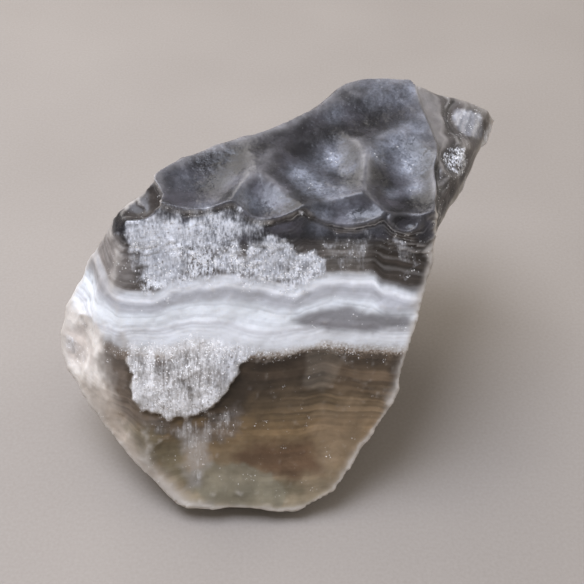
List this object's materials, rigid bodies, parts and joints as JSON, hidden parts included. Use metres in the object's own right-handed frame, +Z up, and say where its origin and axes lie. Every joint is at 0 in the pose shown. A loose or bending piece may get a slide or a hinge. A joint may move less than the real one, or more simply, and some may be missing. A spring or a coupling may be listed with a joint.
{
  "type": "calcite specimen",
  "caption": "Broken hand specimen of banded calcite, with a scalloped growth face on top, a layered broken front face and a small flat spot underneath that it rests on.",
  "frame": {"origin": "middle of the flat spot underneath, on the surface it rests on", "axes": "+Z up, away from the flat spot; +X along the broken front face towards the pointed wedge; +Y back from the broken front face"},
  "size_m": [0.095, 0.0809, 0.0601],
  "materials": {
    "banded_calcite": "waxy translucent stone with grey, white and brown layers and patches of sugary frost"
  },
  "bodies": {
    "root": {"calcite_specimen": "banded_calcite"}
  },
  "joints": []
}
